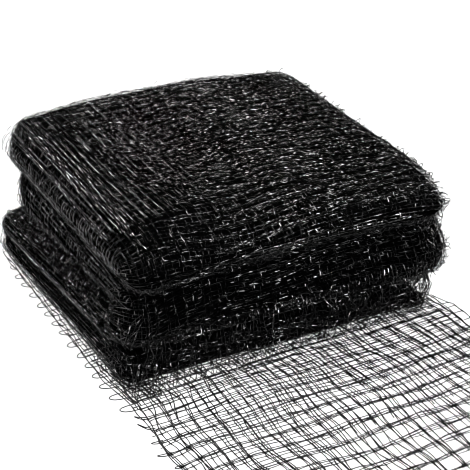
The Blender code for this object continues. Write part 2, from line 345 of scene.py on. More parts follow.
def bandGrid():  # the whole folded band as a grid: rows along the band, columns once round it, in metres
    n = bandRows
    w = (np.arange(n["columns"]) / n["columns"])[None, :]
    tip = bandSet["tipLength"]
    layers = [reachOf(k) for k in range(4)]
    backLow = lambda x: bendCentre(layers[0], layers[1], x, 1)
    front = lambda x: bendCentre(layers[1], layers[2], x, -1)
    backHigh = lambda x: bendCentre(layers[2], layers[3], x, 1)
    start = lambda x: layers[0]["front"] + cornerOf(layers[0], x) + tip
    end = lambda x: layers[3]["front"] + cornerOf(layers[3], x) + tip
    column = lambda count, closed: (np.arange(count + (1 if closed else 0)) / count)[:, None]
    tipColumn = 0.97 * ((np.arange(n["tip"]) + 1) / n["tip"])[:, None]
    blocks = [
        tipRows(0, w, tipColumn[::-1], False),
        spanRows(0, w, start, backLow, column(n["run"], False), False),
        bendRows(0, w, column(n["bend"], False), 1),
        spanRows(1, w, backLow, front, column(n["run"], False), True),
        bendRows(1, w, column(n["bend"], False), -1),
        spanRows(2, w, front, backHigh, column(n["run"], False), False),
        bendRows(2, w, column(n["bend"], False), 1),
        spanRows(3, w, backHigh, end, column(n["run"], True), True),
        tipRows(3, w, tipColumn, True),
    ]
    return np.concatenate(blocks, 0) * mm


band = bandGrid()
alongBand = np.gradient(band, axis=0)
roundBand = (np.roll(band, -1, 1) - np.roll(band, 1, 1)) / 2
bandNormal = unit(np.cross(roundBand, alongBand))


def outwardGuess():  # e * the line between the band's two hands + the side that it rolls to, at length 1
    count = bandRows["columns"]
    flat, half = bandSet["flatShare"], 0.5
    far = flat + half
    w = np.arange(count) / count
    e = acrossPlace(reachOf(0), w)[1]
    side = np.where(w < half, 1.0, -1.0) * np.sqrt(np.maximum(0.0, 1 - e ** 2))
    high = np.where(w <= flat, w, np.where(w < half, flat, np.where(w <= far, far - w, 0.0)))
    highColumn = np.round(high * count).astype(int)
    lowColumn = np.round((far - high) * count).astype(int)
    handAxis = unit(band[:, highColumn] - band[:, lowColumn])
    return unit(e[None, :, None] * handAxis + side[None, :, None] * np.array([1.0, 0.0, 0.0]))


outward = outwardGuess()
folded = (bandNormal * outward).sum(-1, keepdims=True) < 0.35  # where a bend's corner folds over itself
bandNormal = np.where(folded, outward, bandNormal)
print("band grid", band.shape, band.reshape(-1, 3).min(0), band.reshape(-1, 3).max(0))


# the net itself: plies of square mesh laid on the band, each a lattice of knots joined by thin strands

netSet = {
    "pitch": 17.8 * mm,  # the 19 mm mesh, drawn in a little
    "tightReach": 16.0 * mm,  # how far the closer strands of bends and tips reach into the flats
    "sideReach": 9.0 * mm,  # the same for the rolled side edges
    "ridgeReach": 7.0 * mm,  # the bunched strands where a flat turns into a rolled side edge
    "sideTight": 0.85,
    "ridgeTight": 0.5,
    "mostTight": 0.7,  # share of a mesh that is drawn together at most
    "closeGap": 0.62,  # meshes below this share of the pitch get half the points
    "strandRadius": 0.34 * mm,
    "knotSwell": 1.35,  # strand radius at a knot, times the radius between knots
    "subSteps": 4,  # points from one knot to the next
    "outline": (-0.160, 0.163, -0.150, 0.148),  # the pile's left, right, front and back
    "topFrom": 115.0 * mm,  # height where the top layer's upper side starts
    "hiddenDepth": 26.0 * mm,  # how far into the creases the plies are worked out
    "underside": 4.0 * mm,  # what is lower than this and this far inside lies under the pile
    "clearance": 0.8 * mm,  # lowest line of a strand
    "waves": 6,  # sine waves to a drift
    "waveHeight": 3.2 * mm,  # the drift that all plies share
    "waveLength": 150.0 * mm,  # along the band, then round it
    "waveLengthRound": 270.0 * mm,
    "driftLengths": (110.0 * mm, 160.0 * mm),  # each ply's own drift, both ways
    "liftLength": 70.0 * mm,
    "bowMost": 6.5 * mm,  # the furthest that a strand bows out
    "turn": 0.9,  # twist from one point to the next, radians
    "shadeThin": 0.30,  # how much thinner strands are in shade, and how much more they turn there
    "shadeTurn": 1.2,
    "calmHold": 0.8,  # how much less the knots are shaken where the net lies calm
    # strands along and across the band: how deep they lie, how much less they bow and turn where calm, their
    # radius on flats, what calm adds to it, on fronts and on rolled sides, how far they bow sideways
    "ways": {
        "along": (0.5 * mm, 0.85, 0.6, 0.46, 0.48, 1.25, 0.66, 1.0),
        "across": (0.0, 0.2, 0.0, 0.44, 0.0, 0.75, 0.72, 0.6),
    },
}

gridRows, gridColumns = band.shape[:2]
rowSteps = np.linalg.norm(np.diff(band, axis=0), axis=-1).max(axis=1)
columnSteps = np.linalg.norm(np.roll(band, -1, 1) - band, axis=-1).mean(axis=0)
rowAt = np.concatenate([[0.0], np.cumsum(rowSteps)])
columnAt = np.concatenate([[0.0], np.cumsum(columnSteps)])
bandLong, bandAround = rowAt[-1], columnAt[-1]
blockSizes = [bandRows[k] for k in ("tip", "run", "bend", "run", "bend", "run", "bend", "run")]
blockStarts = np.cumsum([0] + blockSizes)
turnBlocks = [np.arange(blockStarts[k], blockStarts[k + 1]) for k in (0, 2, 4, 6)]
turnRows = np.concatenate(turnBlocks + [np.arange(blockStarts[8] + 1, gridRows)])
rollStart, rollEnd = int(bandSet["flatShare"] * gridColumns), int(0.5 * gridColumns)
leftRoll = gridColumns - (rollEnd - rollStart)  # the column where the left edge starts to roll
turnColumns = np.concatenate([np.arange(rollStart, rollEnd + 1), np.arange(leftRoll, gridColumns + 1)])


def tightness(at, turned, reach):  # 1 on turned stretches, fading to 0 away from them
    away = np.abs(at[:, None] - at[turned][None, :]).min(axis=1)
    return smoothStep(1 - away / reach)


def meshCount(at, tight):  # running number of meshes passed, fewer millimetres to a mesh where it is tight
    pitch = netSet["pitch"] * (1 - np.minimum(tight, netSet["mostTight"]))
    middle = (pitch[1:] + pitch[:-1]) / 2
    return np.concatenate([[0.0], np.cumsum(np.diff(at) / middle)])


ridgeColumns = np.array([rollStart, rollEnd, leftRoll, gridColumns])
rowTight = tightness(rowAt, turnRows, netSet["tightReach"])
columnTight = netSet["sideTight"] * tightness(columnAt, turnColumns, netSet["sideReach"])
columnTight += netSet["ridgeTight"] * tightness(columnAt, ridgeColumns, netSet["ridgeReach"])
print("band length and girth, mm:", round(bandLong / mm), round(bandAround / mm))


def insetOf(points):  # how far inside the pile's outline: the least of the distances to its four sides
    left, right, front, back = netSet["outline"]
    x, y = points[..., 0], points[..., 1]
    return np.minimum(np.minimum(x - left, right - x), np.minimum(y - front, back - y))


def onTopLayer(points, normals, least):  # True on the top layer where it faces up by more than least
    return (normals[..., 2] > least) & (points[..., 2] > netSet["topFrom"])


def insidePile(points, normals):  # True deep in a crease or under the pile, where nothing shows
    inset, low = insetOf(points), netSet["underside"]
    deep = (inset > netSet["hiddenDepth"]) & ~onTopLayer(points, normals, 0.0)
    return deep | ((normals[..., 2] < -0.5) & (points[..., 2] < low) & (inset > low))


bandHidden = insidePile(band, bandNormal)[..., None].astype(float)
bandTopOnly = np.where(onTopLayer(band, bandNormal, 0.35), 0.0, 1.0)[..., None]
bandTight = np.maximum(rowTight[:, None], columnTight[None, :-1])[..., None]


def bandPlace(along, around):  # the four grid points round each place, and their shares
    i = np.interp(np.clip(along, 0.0, bandLong), rowAt, np.arange(gridRows))
    j = np.interp(np.mod(around, bandAround), columnAt, np.arange(gridColumns + 1))
    i0 = np.minimum(np.floor(i).astype(int), gridRows - 2)
    j0 = np.minimum(np.floor(j).astype(int), gridColumns - 1)
    return i0, j0, (j0 + 1) % gridColumns, (i - i0)[..., None], (j - j0)[..., None]


def sampleBand(grid, place):  # a bilinear look-up on the band grid
    i0, j0, j1, fi, fj = place
    low = grid[i0, j0] * (1 - fj) + grid[i0, j1] * fj
    return low * (1 - fi) + (grid[i0 + 1, j0] * (1 - fj) + grid[i0 + 1, j1] * fj) * fi


def refine(values, steps):
    # a Catmull-Rom curve through rows of values along axis 1, steps points to each interval:
    # (2 b + (c - a) t + (2 a - 5 b + 4 c - d) t^2 + (3 b - a - 3 c + d) t^3) / 2
    before, beyond = 2 * values[:, :1] - values[:, 1:2], 2 * values[:, -1:] - values[:, -2:-1]
    v = np.concatenate([before, values, beyond], 1)
    a, b, c, d = v[:, :-3], v[:, 1:-2], v[:, 2:-1], v[:, 3:]
    linear, square, cube = c - a, 2 * a - 5 * b + 4 * c - d, 3 * b - a - 3 * c + d
    cubics = [0.5 * (2 * b + linear * t + square * t ** 2 + cube * t ** 3) for t in np.arange(steps) / steps]
    fine = np.stack(cubics, 2).reshape(values.shape[0], -1, values.shape[2])
    return np.concatenate([fine, values[:, -1:]], 1)


def waveTable(length, count):  # sine waves in random directions: two slopes and a start each
    angle = rng.uniform(0, 2 * np.pi, count)
    size = 2 * np.pi / (length * rng.uniform(0.7, 1.5, count))
    return np.stack([np.cos(angle) * size, np.sin(angle) * size, rng.uniform(0, 2 * np.pi, count)], -1)


def waveSum(table, a, b):  # their sum, about 1 high
    return sum(np.sin(a * fa + b * fb + start) for fa, fb, start in table) / math.sqrt(len(table) / 2)


sharedAlong = waveTable(netSet["waveLength"], netSet["waves"])
sharedAround = waveTable(netSet["waveLengthRound"], netSet["waves"])


def ownWaves(length, a, b):  # one ply's own waves of this length
    return waveSum(waveTable(length, netSet["waves"]), a, b)


# places where strands lie or shine differently: start and run of each ramp, in metres or parts of a normal

shareSet = {
    "left": (0.025, 0.05),  # the calm left third: of -x, and of the normal's y
    "leftFacing": (-0.50, 0.3),
    "back": (0.02, 0.09),  # the calmer back: of y, where the normal's z is above backFlat
    "backCalm": 0.75,
    "backFlat": 0.3,
    "front": (0.35, 0.3),  # of the normal's -y
    "side": (0.3, 0.3),  # of its x, either way
    "turned": (0.10, 0.3),  # of its -x and of its -y
    "frontFacing": (0.15, 0.25),  # the front's left half, in shade: of its -y, and of -x
    "frontLeft": (0.040, 0.04),
    "cornerFlat": (0.0, 0.4),  # the top's front left corner, in shade: of its z
    "corner": ((-0.080, 0.060), (-0.105, 0.075)),  # its middle and reach in x, then in y
}


def cornerShade(spot):  # exp(-(dx / rx)^2 - (dy / ry)^2): 1 where the top's front left corner sags darkest
    (x, reachX), (y, reachY) = shareSet["corner"]
    return np.exp(-((spot[..., 0] - x) / reachX) ** 2 - ((spot[..., 1] - y) / reachY) ** 2)


def surfaceShares(spot, normal):  # 0 to 1: how calm the net is, how far on the front, on a side, in shade
    s = shareSet
    x, y = spot[..., 0], spot[..., 1]
    nx, ny, nz = np.moveaxis(normal, -1, 0)
    calm = ramp(-x, *s["left"]) * ramp(ny, *s["leftFacing"])
    calm = np.maximum(calm, s["backCalm"] * ramp(y, *s["back"]) * (nz > s["backFlat"]))
    turned = ramp(-nx, *s["turned"]) * ramp(-ny, *s["turned"])
    frontLeft = ramp(-ny, *s["frontFacing"]) * ramp(-x, *s["frontLeft"])
    shade = np.maximum(cornerShade(spot) * ramp(nz, *s["cornerFlat"]), np.maximum(turned, frontLeft))
    return calm, ramp(-ny, *s["front"]), ramp(np.abs(nx), *s["side"]), shade


def knotLattice(p):
    # knots where running mesh counts along and round the band are whole, drifted by smooth waves, shaken a
    # little and sunk to the ply's depth, with what their place does to the strands
    n = netSet
    rowCount = meshCount(rowAt, p["tightShare"] * rowTight)
    columnCount = meshCount(columnAt, p["tightShare"] * columnTight)
    meshesRound = int(round(columnCount[-1]))
    columnCount *= meshesRound / columnCount[-1]
    u = np.arange(p["phaseAlong"], rowCount[-1], 1.0)
    v = np.arange(meshesRound + 1) + p["phaseAround"]
    along = np.interp(u, rowCount, rowAt)
    around = np.interp(np.mod(v, meshesRound), columnCount, columnAt) + bandAround * np.floor(v / meshesRound)
    a, b = np.meshgrid(along, around, indexing="ij")
    place = bandPlace(a, b)
    spot, normal, tight = (sampleBand(g, place) for g in (band, bandNormal, bandTight))
    calm, onFront, onSide, shade = surfaceShares(spot, normal)
    loose = 1 - n["calmHold"] * calm
    alongLength, aroundLength = n["driftLengths"]
    da = n["waveHeight"] * waveSum(sharedAlong, a, b) + p["drift"] * ownWaves(alongLength, a, b)
    db = 0.7 * n["waveHeight"] * waveSum(sharedAround, a, b)
    db += 0.6 * p["drift"] * loose * ownWaves(aroundLength, a, b)
    da += p["shakeAlong"] * rng.normal(0, 1, a.shape)
    db += p["shakeAround"] * loose * rng.normal(0, 1, a.shape)
    dh = p["lift"] * ownWaves(n["liftLength"], a, b) - p["depth"]
    dh += p["shakeHeight"] * loose * rng.normal(0, 1, a.shape)
    lattice = np.stack([a + da, b + db, dh, calm, tight[..., 0], onFront, onSide, shade], -1)
    return lattice, np.diff(along), np.diff(around)


def plyOnBand(p):
    # strands through the knots both ways, smooth curves that bow out and sideways between knots by half and
    # whole sine waves
    n = netSet
    steps = n["subSteps"]
    lattice, gapsAlong, gapsAround = knotLattice(p)
    parts = []
    for way, (sunk, hold, turnHold, stoutFlat, stoutCalm, stoutFront, stoutSide, bow) in n["ways"].items():
        lengthwise = way == "along"
        fine = refine(np.swapaxes(lattice, 0, 1) if lengthwise else lattice, steps)
        where = np.arange(fine.shape[1])
        gaps = gapsAlong if lengthwise else gapsAround
        close = np.append(np.repeat(gaps < n["closeGap"] * n["pitch"], steps), True)
        where = where[~close | (where % 2 == 0)]
        fine = fine[:, where]
        f = (where % steps) / steps
        half, whole = np.sin(np.pi * f), np.sin(2 * np.pi * f)
        segment = where // steps
        pick = lambda: rng.normal(0, 1, (fine.shape[0], segment.max() + 1))[:, segment]
        s, r, height, calm, tight, onFront, onSide, shade = np.moveaxis(fine, -1, 0)
        height = height - sunk * (1 - calm) * (1 - onFront)
        quiet = 1 - hold * calm
        stout = stoutFlat + stoutCalm * calm
        stout = mix(mix(stout, stoutFront, onFront), stoutSide, onSide) * (1 - n["shadeThin"] * shade)
        sideways = bow * quiet * p["bowSide"] * (pick() * half + 0.5 * pick() * whole)
        outward = quiet * np.abs(pick()) * half * (p["bowOut"] + p["fringe"] * tight)
        outward = np.minimum(outward, n["bowMost"]) + quiet * 0.45 * p["bowOut"] * pick() * whole
        place = bandPlace(s, r + sideways) if lengthwise else bandPlace(s + sideways, r)
        normal = unit(sampleBand(bandNormal, place))
        path = sampleBand(band, place) + normal * (height + outward)[..., None]
        keepAbove(path, n["clearance"])
        shown = sampleBand(bandTopOnly if p["topOnly"] else bandHidden, place)[..., 0] < 0.5
        swell = np.where(f == 0, n["knotSwell"], 1.0) * rng.uniform(0.8, 1.2, shown.shape)
        twist = ownTwist(shown.shape, n["turn"], (1 - turnHold * calm) * (1 + n["shadeTurn"] * shade))
        parts.append(tubes(path, normal, n["strandRadius"] * p["thick"] * stout * swell, twist, shown))
    return joined(parts)


# the pile: outer plies over a core of packed ones

pileSet = {
    # where the lattice starts in meshes along and around, then the fields below in mm, then the shares
    "plies": (
        (0.00, 0.00, 0.2, 0.3, 0.4, 0.22, 0.30, 0.25, 0.35, 0.8, 1.3, 1.00, 0.56, 0),
        (0.50, 0.50, 0.6, 0.3, 0.4, 0.22, 0.30, 0.25, 0.35, 0.8, 1.0, 1.00, 0.56, 0),
        (0.06, 0.09, 1.4, 0.5, 0.4, 0.30, 0.45, 0.30, 0.45, 0.8, 0.6, 0.78, 0.35, 0),
        (0.57, 0.42, 2.4, 0.5, 0.4, 0.30, 0.45, 0.30, 0.45, 0.8, 0.4, 0.78, 0.35, 0),
        (0.95, 0.22, 0.8, 0.6, 0.5, 0.35, 0.70, 0.30, 0.50, 0.8, 0.2, 0.78, 0.20, 1),
        (0.44, 0.73, 1.2, 0.6, 0.5, 0.35, 0.70, 0.30, 0.50, 0.8, 0.2, 0.78, 0.20, 1),
        (0.25, 0.61, 2.6, 0.8, 0.5, 0.45, 0.90, 0.35, 0.60, 0.7, 0.1, 0.75, 0.10, 1),
        (0.75, 0.16, 3.4, 0.8, 0.5, 0.45, 0.90, 0.35, 0.60, 0.7, 0.1, 0.75, 0.10, 1),
    ),
    "fields": ("depth", "drift", "lift", "shakeAlong", "shakeAround", "shakeHeight", "bowSide", "bowOut",
               "fringe"),
    "pieces": ((0, 1), (1, 2), (2, 3), (3, 4), (4, 8)),
    "shaded": (2, 3, 4),  # first plies of the pieces that lie deeper and get the duller copy of the strand material: painted shade
    # under flats, at rolled edges and bends, at those at the back, inside the pile
    "coreDepth": (6.4 * mm, 2.8 * mm, 1.4 * mm, 9.0 * mm),
    "coreInside": (0.02, 0.02),  # start and run of the inside, from the outline inwards
    "coreBack": (0.10, 0.04),  # and of the back, in y
    "coreFloor": 0.6 * mm,
}


def plyValues(row):  # one ply's numbers as a dictionary
    values = {name: value * mm for name, value in zip(pileSet["fields"], row[2:])}
    values.update(zip(("phaseAlong", "phaseAround", "thick", "tightShare", "topOnly"), row[:2] + row[-3:]))
    return values


# materials

look = {
    "colour": "#010101",  # carbon black: the strands show by their gloss alone
    "ior": 1.49,  # polypropylene
    "patch": 6.25 * mm,  # size of the patches where the gloss differs
    "glossier": 0.08,  # how far the roughness goes down and up in them
    "duller": 0.10,
}


def strandMaterial(name, roughness, specular):
    # extruded polypropylene, black: a drawn strand with a semi-gloss skin, uneven over a few millimetres
    material = bpy.data.materials.new(name)
    material.use_nodes = True
    tree = material.node_tree
    shader = tree.nodes["Principled BSDF"]
    shader.inputs["Base Color"].default_value = linearColour(look["colour"])
    shader.inputs["IOR"].default_value = look["ior"]
    shader.inputs["Specular IOR Level"].default_value = specular
    place = addNode(tree, "ShaderNodeTexCoord")
    noise = addNode(tree, "ShaderNodeTexNoise", inputs={"Scale": 1 / look["patch"], "Detail": 2.0},
                    links=[(place, "Object", "Vector")])
    span = {"From Min": 0.3, "From Max": 0.7,
            "To Min": roughness - look["glossier"], "To Max": roughness + look["duller"]}
    spread = addNode(tree, "ShaderNodeMapRange", inputs=span,
                     links=[(noise, "Factor" if "Factor" in noise.outputs else "Fac", "Value")])
    tree.links.new(spread.outputs["Result"], shader.inputs["Roughness"])
    return material


# copies of one black polypropylene: strands in the open glint; deeper plies and the loose end get a duller
# copy, painted shade; strands drawn taut along the folds get a glossier copy, painted highlights; the packed
# plies of the core behind them get a copy with no sheen, painted shade that keeps them dull
outerStrand = strandMaterial("black polypropylene strand", 0.15, 0.36)
shadeCopyStrand = strandMaterial("black polypropylene strand, duller copy for painted shade", 0.20, 0.16)
glintCopyStrand = strandMaterial("taut polypropylene strand, rubbed bright", 0.14, 0.75)
packedPliesShadeCopy = strandMaterial("packed polypropylene plies", 0.80, 0.0)


def makeCore():
    # the band less its normal times a depth, every second row and column of it, closed at both ends
    c = pileSet
    flat, edge, rim, inside = c["coreDepth"]
    within = ramp(insetOf(band), *c["coreInside"]) * ~onTopLayer(band, bandNormal, 0.0)
    edge = mix(edge, rim, ramp(band[..., 1], *c["coreBack"]))
    depth = mix(mix(flat, edge, np.clip(bandTight[..., 0], 0, 1)), inside, within)
    points = (band - bandNormal * depth[..., None])[:, ::2]
    points = np.concatenate([points[:-1:2], points[-1:]])
    keepAbove(points, c["coreFloor"])
    rows, columns = points.shape[:2]
    index = np.arange(rows * columns).reshape(rows, columns)
    after = np.roll(index, -1, 1)
    first = np.stack([index[:-1], after[:-1], after[1:]], -1).reshape(-1, 3)
    second = np.stack([index[:-1], after[1:], index[1:]], -1).reshape(-1, 3)
    middle = len(points.reshape(-1, 3)) + np.arange(2)
    ends = points[[0, -1]].mean(axis=1)
    lowFan = np.stack([after[0], index[0], np.full(columns, middle[0])], -1)
    highFan = np.stack([index[-1], after[-1], np.full(columns, middle[1])], -1)
    allPoints = np.concatenate([points.reshape(-1, 3), ends])
    faces = np.concatenate([first, second, lowFan, highFan])
    # the core gets the copy without sheen: painted shade that keeps the deep plies dark
    return finished("foldedCore", [(allPoints, faces)], True, packedPliesShadeCopy)


def makePlies():  # the plies, joined to a few pieces
    pieces = []
    for k, (first, last) in enumerate(pileSet["pieces"]):
        plies = [plyOnBand(plyValues(row)) for row in pileSet["plies"][first:last]]
        # deeper pieces get the duller copy of the strand material: painted shade
        material = shadeCopyStrand if first in pileSet["shaded"] else outerStrand
        pieces.append(finished("foldedPlies%d" % (k + 1), plies, False, material))
    return pieces


core = makeCore()
pliesMade = makePlies()


# slack loops and ends that stand out from the folded edges

fringeSet = {
    "count": 2300,
    "points": 6,  # along each loop
    "span": (2.0, 8.0),  # mm from foot to foot
    "height": (0.8, 3.4),
    "foot": 0.8 * mm,  # how far inside the surface the feet are
    "endShare": 0.40,  # how many stand open as a loose end
    "strandRadius": 0.30 * mm,
    "tightFrom": 0.35,  # they stand where the net is drawn closer than this
    "lowest": 6.0 * mm,
    "clearance": 0.6 * mm,
    # start and run of the right rim in x and of the back rim in y, and how many more stand there
    "rightRim": (0.11, 0.05),
    "backRim": (0.11, 0.03),
    "rightMore": 4.5,
    "backMore": 2.5,
    "rightTaller": 1.4,
    "rightStouter": 0.4,
}


def loopPaths(foot, reach, out, side, height, standsOpen):
    # from foot to foot + reach: a half wave out of the surface, a quarter wave for an open end, and a lean
    t = np.linspace(0, 1, fringeSet["points"])[None, :, None]
    wave = np.sin(np.pi * t * np.where(standsOpen, 0.5, 1.0)[:, None, None])
    rise = height[:, None, None] * wave - fringeSet["foot"]
    return foot[:, None] + reach[:, None] * t + out[:, None] * rise + side[:, None] * np.sin(np.pi * t)


def makeFringe():  # loops at random places, more of them where the net is drawn close
    c = fringeSet
    count = c["count"]
    weight = np.clip(bandTight[..., 0] - c["tightFrom"], 0, 1)
    weight *= (bandHidden[..., 0] < 0.5) * (band[..., 2] > c["lowest"])
    weight *= np.gradient(rowAt)[:, None] * np.diff(columnAt)[None, :]
    weight *= (1 + c["rightMore"] * ramp(band[..., 0], *c["rightRim"])
               + c["backMore"] * ramp(band[..., 1], *c["backRim"]))
    chosen = rng.choice(weight.size, count, p=(weight / weight.sum()).ravel())
    i, j = np.unravel_index(chosen, weight.shape)
    foot, out = band[i, j], bandNormal[i, j]
    along, across = unit(alongBand[i, j]), unit(roundBand[i, j])
    angle = rng.normal(0, 0.9, count)[:, None]
    span = rng.uniform(*c["span"], count)[:, None] * mm
    direction = along * np.cos(angle) + across * np.sin(angle)
    height = rng.uniform(*c["height"], count) * mm * rng.uniform(0.5, 1, count)
    rightRim = ramp(foot[:, 0], *c["rightRim"])
    height = height * (1 + c["rightTaller"] * rightRim)
    side = across * rng.normal(0, 1.2, count)[:, None] * mm
    path = loopPaths(foot, direction * span, out, side, height, rng.uniform(size=count) < c["endShare"])
    keepAbove(path, c["clearance"])
    radius = c["strandRadius"] * (1 + c["rightStouter"] * rightRim)[:, None]
    twist = rng.uniform(0, fullTurn, (count, 1))
    loops = tubes(path, unit(across + 0.3 * out)[:, None], radius, twist)
    return finished("edgeFringe", [loops], False, outerStrand)


fringe = makeFringe()


# fine rows across the top, where the crossing strands of many plies lie together

rowSet = {
    "step": 9.0 * mm,  # from one row to the next
    "stepShake": 0.8 * mm,
    "ends": (6.0 * mm, 12.0 * mm),  # how far from the back bend and the front edge they stop
    "strands": 6,
    "spread": 0.80 * mm,  # from one strand to the next in a row
    "spreadShake": 0.18 * mm,
    "depth": (0.7, 0.0, 0.3, 0.8, 0.3, 1.5),  # of each strand in mm, below the lift
    "lift": 0.9 * mm,
    "pointStep": 2.0 * mm,
    "leftEnds": (0.07, 0.30),  # shares of the top's width where rows begin at its left
    "rightEnds": (0.0, 0.04),
    "gapLength": 50.0 * mm,  # gaps in the rows, where waves of this length are higher than gapFrom
    "gapFrom": 1.5,
    "shakeAlong": 0.20 * mm,
    "shakeHeight": 0.30 * mm,
    "stillFront": (0.01, 0.08),  # calmer at the front right: start and run in -y, then in x
    "stillRight": (-0.06, 0.05),
    "still": 0.25,
    "turn": 0.035,  # how far rows lean back towards the right, mm per mm
    "strandRadius": 0.32 * mm,
    "shadeThin": 0.25,
    "twist": 1.5,
}


def makeRows():
    # strands across the top layer, in rows of a few; each follows the drift of the plies, and every point is
    # shaken a little up and along, so that it glints in short dashes
    c = rowSet
    first, last = rowAt[blockStarts[7]] + c["ends"][0], rowAt[-1] - c["ends"][1]
    right, left = columnAt[rollEnd - 6], columnAt[leftRoll + 2]
    rows = np.arange(first, last, c["step"])
    rows = rows + rng.normal(0, c["stepShake"], len(rows))
    offset = (np.arange(c["strands"]) - (c["strands"] - 1) / 2) * c["spread"]
    shaken = offset + rng.normal(0, c["spreadShake"], (len(rows), c["strands"]))
    s0 = (rows[:, None] + shaken).ravel()[:, None]
    depth = np.tile(np.array(c["depth"]) * mm, len(rows))[:, None]
    count = int((left - right) / c["pointStep"])
    share = np.linspace(0, 1, count)[None, :] + 0 * s0
    r = right + (left - right) * share
    lean = c["turn"] * (share - 0.5) * (left - right)
    s = s0 + lean + netSet["waveHeight"] * waveSum(sharedAlong, s0, r)
    spot = sampleBand(band, bandPlace(s, r))
    still = 1 - c["still"] * ramp(-spot[..., 1], *c["stillFront"]) * ramp(spot[..., 0], *c["stillRight"])
    place = bandPlace(s + still * c["shakeAlong"] * rng.normal(0, 1, r.shape), r)
    normal = unit(sampleBand(bandNormal, place))
    height = c["lift"] - depth + still * c["shakeHeight"] * rng.normal(0, 1, r.shape)
    spot = sampleBand(band, place)
    path = spot + normal * height[..., None]
    leftEnd = 1 - rng.uniform(*c["leftEnds"], (len(s0), 1))
    gap = waveSum(waveTable(c["gapLength"], 8), 3 * s0, r) > c["gapFrom"]
    keep = (share < leftEnd) & (share > rng.uniform(*c["rightEnds"], (len(s0), 1))) & ~gap
    radius = c["strandRadius"] * rng.uniform(0.75, 1.2, r.shape) * (1 - c["shadeThin"] * cornerShade(spot))
    twist = np.cumsum(still * rng.normal(0, c["twist"], r.shape), axis=1)
    return finished("topRows", [tubes(path, normal, radius, twist, keep)], False, outerStrand)


topRows = makeRows()


# long strands that lie together along the folds, listed one by one

ridgeSet = {
    "points": 64,
    "lift": 0.9 * mm,
    "endShare": 0.16,  # share of its row by which a strand is shorter at each end, at most
    "gather": 0.35,  # how much closer the strands lie at the far end
    "wander": 0.20,  # mm from point to point
    "turn": 0.28,
    "rollMore": 0.0,  # mm added to a rolled edge's radius, to measure round it
    "frontTall": 50.0,  # mm that stand for a front's whole height
    "frontClip": 0.03,  # and how near they come to its edges, as a share
    # layer, y from and to in mm, degrees round its rolled edge at both ends (0 is the top, 90 the outermost
    # line), strands, spread across in mm, radius in mm
    "left": (
        (3, 126, -150, 12, 26, 7, 19, 0.37),
        (3, 122, -150, 52, 62, 3, 9, 0.34),
        (3, 118, -150, 100, 96, 3, 9, 0.34),
        (2, 120, -140, 40, 55, 4, 11, 0.34),
        (2, 120, -140, 105, 100, 2, 6, 0.34),
        (1, 150, -150, -15, -5, 5, 14, 0.38),
        (1, 150, -150, 30, 35, 5, 13, 0.38),
        (1, 140, -150, 80, 80, 3, 9, 0.36),
        (0, 150, -150, 90, 90, 4, 10, 0.38),
    ),
    # layer, x from and to, height above its underside as a share at both ends, strands, spread, radius
    "front": (
        (3, -95, 150, 0.16, 0.20, 6, 8, 0.52),
        (3, -60, 150, 0.44, 0.50, 4, 10, 0.44),
        (2, -60, 145, 0.50, 0.62, 3, 8, 0.40),
        (1, -140, 165, 0.86, 0.90, 4, 8, 0.42),
        (1, -140, 165, 0.30, 0.40, 3, 9, 0.40),
        (0, -155, 140, 0.80, 0.70, 3, 7, 0.42),
        (0, -155, 140, 0.22, 0.25, 4, 6, 0.42),
    ),
}

# how strands and rungs find their place on an edge

edgeSet = {
    "cornerFrom": 120.0,  # mm from the middle where edges turn in to the corners, then over how far
    "leftRun": 45.0,
    "frontRun": 40.0,
    "cornerShare": 0.9,
    "frontInset": 12.0,  # mm behind the front, where its two heights are taken
    "out": {"left": unit(np.array([-1.0, 0.0, 0.5])), "front": unit(np.array([0.0, -1.0, 0.4]))},
}


def ridgePlace(layer, y, turn):
    # a place on a layer's left edge: round the ellipse between its two heights, from its top downwards
    reach = reachOf(layer)
    x0 = reach["left"] + reach["roll"]
    corner = bandSet["cornerRound"] * ramp(np.abs(y), edgeSet["cornerFrom"], edgeSet["leftRun"]) ** 2
    low, high = layerHeights(layer, x0 + 0 * y, y)
    x = x0 - reach["roll"] * np.sin(turn) + corner * edgeSet["cornerShare"]
    return np.stack([x, y, between(low, high, np.cos(turn))], -1)


def frontPlace(layer, x, share):
    # a place on a layer's front: y = y0 + depth * (1 - cos), a bulge between its two heights
    y0 = frontReach(reachOf(layer), x)
    corner = bandSet["cornerRound"] * ramp(np.abs(x), edgeSet["cornerFrom"], edgeSet["frontRun"]) ** 2
    low, high = layerHeights(layer, x, y0 + edgeSet["frontInset"])
    depth = bandSet["tipLength"] if layer in (0, 3) else bandSet["bendDepth"]
    y = y0 + depth * (1 - np.cos(np.pi * (share - 0.5))) + corner
    return np.stack([x, y, mix(low, high, share)], -1)


def edgePlace(c, side, layer, own, base, offset):
    # by mm along an edge, the place round or up it from a dictionary's row, and mm round or up from there
    if side == "left":
        return ridgePlace(layer, own, np.radians(base) + offset / (reachOf(layer)["roll"] + c["rollMore"]))
    return frontPlace(layer, own, np.clip(base + offset / c["frontTall"], c["frontClip"], 1 - c["frontClip"]))


def makeRidges():  # strands side by side along an edge, each with its own ends and a wander of its own
    c = ridgeSet
    count = c["points"]
    t = np.linspace(0, 1, count)
    parts = []
    for side, out in edgeSet["out"].items():
        for layer, start, end, first, last, strands, spread, thick in c[side]:
            base = mix(first, last, t)
            for k in range(strands):
                ends = rng.uniform(0, c["endShare"], 2)
                own = mix(start, end, mix(ends[0], 1 - ends[1], t))
                offset = spread * ((k + 0.5) / strands - 0.5) * (1 - c["gather"] * t)
                offset = offset + np.cumsum(rng.normal(0, c["wander"], count))
                path = edgePlace(c, side, layer, own, base, offset) * mm
                path = path + out * (c["lift"] * (0.4 + rng.uniform(0, 1, (count, 1))))
                keepAbove(path, netSet["clearance"])
                radius = thick * mm * rng.uniform(0.8, 1.15, (1, count))
                parts.append(tubes(path[None], out, radius, ownTwist((1, count), c["turn"]), sides=4))
    # the glossier copy of the strand material: painted highlights along the folds
    return finished("ridgeStrands", parts, False, glintCopyStrand)


ridges = makeRidges()


# short rungs between those strands, in rows along the crests of the folds

